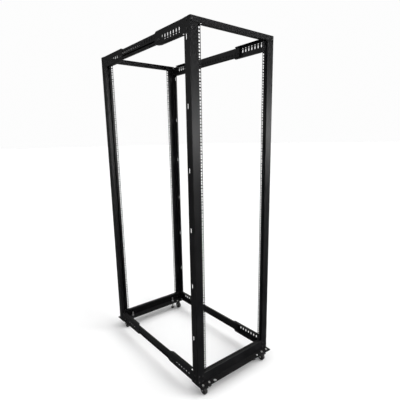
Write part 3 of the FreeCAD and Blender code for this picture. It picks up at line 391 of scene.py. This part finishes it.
def measure_solid(solid, axis):
    """Measures of one bolt or nut: its centre, its ends along the axis, its outer radius, the radius
    of its shank or bore, and the ends of its widest part."""
    low = Vector([min(point[i] for point in solid) for i in range(3)])
    high = Vector([max(point[i] for point in solid) for i in range(3)])
    middle = (low + high) / 2

    def radius_of(point):
        return math.sqrt(sum((point[i] - middle[i]) ** 2 for i in range(3) if i != axis))

    radius = max(radius_of(point) for point in solid)
    inner = min(radius_of(point) for point in solid if radius_of(point) > 0.1 * MM)
    wide = [point[axis] for point in solid if radius_of(point) > radius * 0.93]
    return {"middle": middle, "low": low[axis], "high": high[axis], "radius": radius, "inner": inner,
            "wide": (min(wide), max(wide))}


def lathe(mesh, rings, place):
    """Skin through rings of SEGMENTS points; a ring is (radius or list of radii, height)."""
    rows = []
    for radii, height in rings:
        row = []
        for i in range(SEGMENTS):
            radius = radii[i] if isinstance(radii, list) else radii
            angle = 2 * math.pi * i / SEGMENTS
            point = Vector((radius * math.cos(angle), radius * math.sin(angle), height))
            row.append(mesh.verts.new(place @ point))
        rows.append(row)
    for below, above in zip(rows, rows[1:]):
        for i in range(SEGMENTS):
            j = (i + 1) % SEGMENTS
            mesh.faces.new((below[i], below[j], above[j], above[i]))


def hexagon(radius):
    """Radii of a hexagon with this radius at its corners."""
    radii = []
    for i in range(SEGMENTS):
        angle = (2 * math.pi * i / SEGMENTS) % (math.pi / 3)
        radii.append(radius * math.cos(math.pi / 6) / math.cos(angle - math.pi / 6))
    return radii


def thread_rings(radius, top, bottom, pitch):
    """Ridged rings from the top down to the bottom, the last turn chamfered."""
    rings = []
    turns = int((top - bottom - pitch) / pitch)
    for turn in range(turns):
        height = top - pitch * turn
        rings += [(radius, height), (radius * 0.9, height - pitch / 2)]
    return rings + [(radius, bottom + pitch), (radius * 0.8, bottom)]


def add_bolt(mesh, place, radius, head, height, length):
    """Low button head with a hexagonal socket, above a threaded shank; head is the head's radius."""
    socket = hexagon(head * 0.46)
    tip = 0.02 * MM
    rings = [(tip, -length)]
    rings += list(reversed(thread_rings(radius, -0.4 * MM, -length, 1 * MM)))
    rings += [(radius, 0), (head * 0.98, 0), (head, height * 0.2), (head * 0.97, height * 0.5),
              (head * 0.86, height * 0.82), (head * 0.68, height), (head * 0.56, height),
              (socket, height * 0.97), (socket, height * 0.3), (tip, height * 0.22)]
    lathe(mesh, rings, place)


def add_nut(mesh, place, radius, bore, height):
    """Hexagonal nut with chamfered corners, from its foot at 0 up."""
    flat = radius * math.cos(math.pi / 6)
    outline = hexagon(radius)
    start = (bore, 0.05 * MM)
    rings = [start, (flat * 0.98, 0), (outline, height * 0.13), (outline, height * 0.87),
             (flat * 0.98, height), (bore * 1.15, height), (bore, height * 0.92), start]
    lathe(mesh, rings, place)


def stand_on(axis, middle, foot, up):
    """Placement whose Z runs along the axis, up or down, from the foot."""
    origin = middle.copy()
    origin[axis] = foot
    direction = Vector([0, 0, 0])
    direction[axis] = up
    return Matrix.Translation(origin) @ direction.to_track_quat("Z", "Y").to_matrix().to_4x4()


def finish_mesh(name, mesh, material, body, slot, *nodes):
    """Turns the mesh into a piece on the body, which stands for the CAD nodes."""
    bmesh.ops.recalc_face_normals(mesh, faces=mesh.faces)
    data = bpy.data.meshes.new(name)
    mesh.to_mesh(data)
    mesh.free()
    data.materials.append(material)
    data.shade_smooth()
    data.set_sharp_from_angle(angle=math.radians(35))
    piece = add_object(name, data)
    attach(piece, body)
    if nodes:
        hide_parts(*nodes)
    return piece


def detail_fasteners(node, axis, body, slot, finishes):
    """Socket-head bolts and chamfered nuts where the CAD node has plain ones."""
    mesh = bmesh.new()
    for solid in find_solids(node, axis):
        low, high = solid["low"], solid["high"]
        wide_low, wide_high = solid["wide"]
        if wide_high - wide_low > (high - low) * 0.9:
            place = stand_on(axis, solid["middle"], low, 1)
            add_nut(mesh, place, solid["radius"], solid["inner"], high - low)
        else:
            head_up = wide_high > (low + high) / 2
            seat = wide_low if head_up else wide_high
            place = stand_on(axis, solid["middle"], seat, 1 if head_up else -1)
            height = wide_high - wide_low
            add_bolt(mesh, place, solid["inner"], solid["radius"], height, high - low - height)
    finish_mesh(f"{node}_detail", mesh, finishes[slot], body, slot, node)


def add_thread(node, body, finishes):
    """Helical thread round a levelling stem, above its hexagon."""
    low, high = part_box(node)
    pitch = 1.75 * MM
    radius = 5.85 * MM
    start = low.z + 12 * MM
    end = high.z - 1 * MM
    steps = 14                          # points in each turn
    count = int((end - start) / pitch * steps)
    curve = bpy.data.curves.new(f"{node}_thread", "CURVE")
    curve.dimensions = "3D"
    curve.bevel_depth = 0.3 * MM
    curve.bevel_resolution = 1
    line = curve.splines.new("POLY")
    line.points.add(count - 1)
    centre = (low + high) / 2
    for i, point in enumerate(line.points):
        angle = 2 * math.pi * i / steps
        point.co = (centre.x + radius * math.cos(angle), centre.y + radius * math.sin(angle),
                    start + pitch * i / steps, 1)
    curve.materials.append(finishes["zinc_steel"])
    piece = add_object(f"{node}_thread", curve)
    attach(piece, body)


def dress():
    """Finishes on the CAD nodes, and detailed hardware in place of the plain bolts and nuts."""
    finishes = make_finishes()
    finish_nodes(finishes)
    for end in ENDS:
        body = f"{end}_frame"
        for kind, axis, slot in (("corner_bolts", 1, "bolt_black"), ("bracket_bolts", 0, "bolt_black"),
                                 ("clamp_bolts", 0, "bolt_black"), ("caster_bolts", 2, "zinc_steel"),
                                 ("foot_nuts", 2, "zinc_steel")):
            detail_fasteners(f"{end}_{kind}", axis, body, slot, finishes)
        for side in SIDES:
            add_thread(f"{end}_{side}_foot_stem", f"{end}_{side}_foot", finishes)


add_camera()
add_world()
add_floor()
add_sun("Key", (-0.45, 0.75, -0.95), 45, 1.74)
add_sun("Overhead", (0.1, 0.1, -1), 90, 1.52)
dress()
bpy.context.scene.view_settings.view_transform = "Standard"
